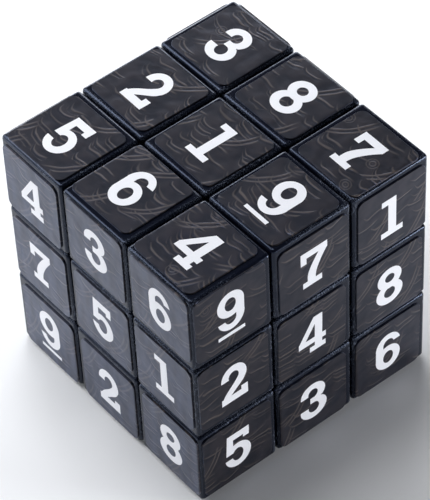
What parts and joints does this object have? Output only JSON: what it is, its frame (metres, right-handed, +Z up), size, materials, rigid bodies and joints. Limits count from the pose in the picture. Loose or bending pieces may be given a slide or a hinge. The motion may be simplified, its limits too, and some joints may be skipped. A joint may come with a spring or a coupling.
{
  "type": "sudoku cube",
  "caption": "Black three-layer turning puzzle cube: corner, edge and centre pieces hooked round a screw-and-spring core, each small face carrying a white numeral on a grained dark label.",
  "frame": {"origin": "middle of the core, where the six turning axes cross, which is the centre of the cube", "axes": "+Z up through the up face, front face towards -Y, right face towards +X"},
  "size_m": [0.057, 0.057, 0.057],
  "materials": {
    "cubie_plastic": "moulded glossy black ABS with softly rounded, lightly scuffed edges",
    "centre_plastic": "moulded black ABS, mostly hidden under the cap",
    "cap_plastic": "moulded glossy black ABS with softly rounded edges",
    "core_plastic": "moulded dark ABS, hidden",
    "screw_steel": "zinc-plated steel",
    "washer_steel": "stamped zinc-plated steel",
    "spring_steel": "drawn spring steel wire"
  },
  "bodies": {
    "core": {"core": "core_plastic", "screw_up": "screw_steel", "washer_up": "washer_steel", "spring_up": "spring_steel", "screw_down": "screw_steel", "washer_down": "washer_steel", "spring_down": "spring_steel", "screw_right": "screw_steel", "washer_right": "washer_steel", "spring_right": "spring_steel", "screw_left": "screw_steel", "washer_left": "washer_steel", "spring_left": "spring_steel", "screw_front": "screw_steel", "washer_front": "washer_steel", "spring_front": "spring_steel", "screw_back": "screw_steel", "washer_back": "washer_steel", "spring_back": "spring_steel"},
    "centre_up": {"centre_up": "centre_plastic", "centre_cap_up": "cap_plastic"},
    "centre_down": {"centre_down": "centre_plastic", "centre_cap_down": "cap_plastic"},
    "centre_right": {"centre_right": "centre_plastic", "centre_cap_right": "cap_plastic"},
    "centre_left": {"centre_left": "centre_plastic", "centre_cap_left": "cap_plastic"},
    "centre_front": {"centre_front": "centre_plastic", "centre_cap_front": "cap_plastic"},
    "centre_back": {"centre_back": "centre_plastic", "centre_cap_back": "cap_plastic"},
    "edge_up_right": {"edge_up_right": "cubie_plastic"},
    "edge_up_left": {"edge_up_left": "cubie_plastic"},
    "edge_up_front": {"edge_up_front": "cubie_plastic"},
    "edge_up_back": {"edge_up_back": "cubie_plastic"},
    "edge_down_right": {"edge_down_right": "cubie_plastic"},
    "edge_down_left": {"edge_down_left": "cubie_plastic"},
    "edge_down_front": {"edge_down_front": "cubie_plastic"},
    "edge_down_back": {"edge_down_back": "cubie_plastic"},
    "edge_front_right": {"edge_front_right": "cubie_plastic"},
    "edge_back_right": {"edge_back_right": "cubie_plastic"},
    "edge_front_left": {"edge_front_left": "cubie_plastic"},
    "edge_back_left": {"edge_back_left": "cubie_plastic"},
    "corner_up_right_front": {"corner_up_right_front": "cubie_plastic"},
    "corner_up_right_back": {"corner_up_right_back": "cubie_plastic"},
    "corner_up_left_front": {"corner_up_left_front": "cubie_plastic"},
    "corner_up_left_back": {"corner_up_left_back": "cubie_plastic"},
    "corner_down_right_front": {"corner_down_right_front": "cubie_plastic"},
    "corner_down_right_back": {"corner_down_right_back": "cubie_plastic"},
    "corner_down_left_front": {"corner_down_left_front": "cubie_plastic"},
    "corner_down_left_back": {"corner_down_left_back": "cubie_plastic"}
  },
  "joints": [
    {"name": "turn_up", "type": "hinge", "parent": "core", "child": "centre_up", "pos_m": [0, 0, 0], "axis": [0, 0, 1], "continuous": true},
    {"name": "turn_down", "type": "hinge", "parent": "core", "child": "centre_down", "pos_m": [0, 0, 0], "axis": [0, 0, -1], "continuous": true},
    {"name": "turn_right", "type": "hinge", "parent": "core", "child": "centre_right", "pos_m": [0, 0, 0], "axis": [1, 0, 0], "continuous": true},
    {"name": "turn_left", "type": "hinge", "parent": "core", "child": "centre_left", "pos_m": [0, 0, 0], "axis": [-1, 0, 0], "continuous": true},
    {"name": "turn_front", "type": "hinge", "parent": "core", "child": "centre_front", "pos_m": [0, 0, 0], "axis": [0, -1, 0], "continuous": true},
    {"name": "turn_back", "type": "hinge", "parent": "core", "child": "centre_back", "pos_m": [0, 0, 0], "axis": [0, 1, 0], "continuous": true},
    {"name": "edge_up_right_turn", "type": "hinge", "parent": "centre_up", "child": "edge_up_right", "pos_m": [0, 0, 0], "axis": [1, 0, 0], "continuous": true},
    {"name": "edge_up_left_turn", "type": "hinge", "parent": "centre_up", "child": "edge_up_left", "pos_m": [0, 0, 0], "axis": [-1, 0, 0], "continuous": true},
    {"name": "edge_up_front_turn", "type": "hinge", "parent": "centre_front", "child": "edge_up_front", "pos_m": [0, 0, 0], "axis": [0, 0, 1], "continuous": true},
    {"name": "edge_up_back_turn", "type": "hinge", "parent": "centre_back", "child": "edge_up_back", "pos_m": [0, 0, 0], "axis": [0, 0, 1], "continuous": true},
    {"name": "edge_down_right_turn", "type": "hinge", "parent": "centre_down", "child": "edge_down_right", "pos_m": [0, 0, 0], "axis": [1, 0, 0], "continuous": true},
    {"name": "edge_down_left_turn", "type": "hinge", "parent": "centre_down", "child": "edge_down_left", "pos_m": [0, 0, 0], "axis": [-1, 0, 0], "continuous": true},
    {"name": "edge_down_front_turn", "type": "hinge", "parent": "centre_front", "child": "edge_down_front", "pos_m": [0, 0, 0], "axis": [0, 0, -1], "continuous": true},
    {"name": "edge_down_back_turn", "type": "hinge", "parent": "centre_back", "child": "edge_down_back", "pos_m": [0, 0, 0], "axis": [0, 0, -1], "continuous": true},
    {"name": "edge_front_right_turn", "type": "hinge", "parent": "centre_right", "child": "edge_front_right", "pos_m": [0, 0, 0], "axis": [0, -1, 0], "continuous": true},
    {"name": "edge_back_right_turn", "type": "hinge", "parent": "centre_right", "child": "edge_back_right", "pos_m": [0, 0, 0], "axis": [0, 1, 0], "continuous": true},
    {"name": "edge_front_left_turn", "type": "hinge", "parent": "centre_left", "child": "edge_front_left", "pos_m": [0, 0, 0], "axis": [0, -1, 0], "continuous": true},
    {"name": "edge_back_left_turn", "type": "hinge", "parent": "centre_left", "child": "edge_back_left", "pos_m": [0, 0, 0], "axis": [0, 1, 0], "continuous": true},
    {"name": "corner_up_right_front_turn", "type": "hinge", "parent": "edge_up_right", "child": "corner_up_right_front", "pos_m": [0, 0, 0], "axis": [0, -1, 0], "continuous": true},
    {"name": "corner_up_right_back_turn", "type": "hinge", "parent": "edge_back_right", "child": "corner_up_right_back", "pos_m": [0, 0, 0], "axis": [0, 0, 1], "continuous": true},
    {"name": "corner_up_left_front_turn", "type": "hinge", "parent": "edge_front_left", "child": "corner_up_left_front", "pos_m": [0, 0, 0], "axis": [0, 0, 1], "continuous": true},
    {"name": "corner_up_left_back_turn", "type": "hinge", "parent": "edge_up_back", "child": "corner_up_left_back", "pos_m": [0, 0, 0], "axis": [-1, 0, 0], "continuous": true},
    {"name": "corner_down_right_front_turn", "type": "hinge", "parent": "edge_front_right", "child": "corner_down_right_front", "pos_m": [0, 0, 0], "axis": [0, 0, -1], "continuous": true},
    {"name": "corner_down_right_back_turn", "type": "hinge", "parent": "edge_down_right", "child": "corner_down_right_back", "pos_m": [0, 0, 0], "axis": [0, 1, 0], "continuous": true},
    {"name": "corner_down_left_front_turn", "type": "hinge", "parent": "edge_down_front", "child": "corner_down_left_front", "pos_m": [0, 0, 0], "axis": [-1, 0, 0], "continuous": true},
    {"name": "corner_down_left_back_turn", "type": "hinge", "parent": "edge_back_left", "child": "corner_down_left_back", "pos_m": [0, 0, 0], "axis": [0, 0, -1], "continuous": true}
  ],
  "couplings": [
    {"joint": "edge_up_right_turn", "follows": "turn_right", "ratio": 1},
    {"joint": "edge_up_left_turn", "follows": "turn_left", "ratio": 1},
    {"joint": "edge_up_front_turn", "follows": "turn_up", "ratio": 1},
    {"joint": "edge_up_back_turn", "follows": "turn_up", "ratio": 1},
    {"joint": "edge_down_right_turn", "follows": "turn_right", "ratio": 1},
    {"joint": "edge_down_left_turn", "follows": "turn_left", "ratio": 1},
    {"joint": "edge_down_front_turn", "follows": "turn_down", "ratio": 1},
    {"joint": "edge_down_back_turn", "follows": "turn_down", "ratio": 1},
    {"joint": "edge_front_right_turn", "follows": "turn_front", "ratio": 1},
    {"joint": "edge_back_right_turn", "follows": "turn_back", "ratio": 1},
    {"joint": "edge_front_left_turn", "follows": "turn_front", "ratio": 1},
    {"joint": "edge_back_left_turn", "follows": "turn_back", "ratio": 1},
    {"joint": "corner_up_right_front_turn", "follows": "turn_front", "ratio": 1},
    {"joint": "corner_up_right_back_turn", "follows": "turn_up", "ratio": 1},
    {"joint": "corner_up_left_front_turn", "follows": "turn_up", "ratio": 1},
    {"joint": "corner_up_left_back_turn", "follows": "turn_left", "ratio": 1},
    {"joint": "corner_down_right_front_turn", "follows": "turn_down", "ratio": 1},
    {"joint": "corner_down_right_back_turn", "follows": "turn_back", "ratio": 1},
    {"joint": "corner_down_left_front_turn", "follows": "turn_left", "ratio": 1},
    {"joint": "corner_down_left_back_turn", "follows": "turn_down", "ratio": 1}
  ]
}
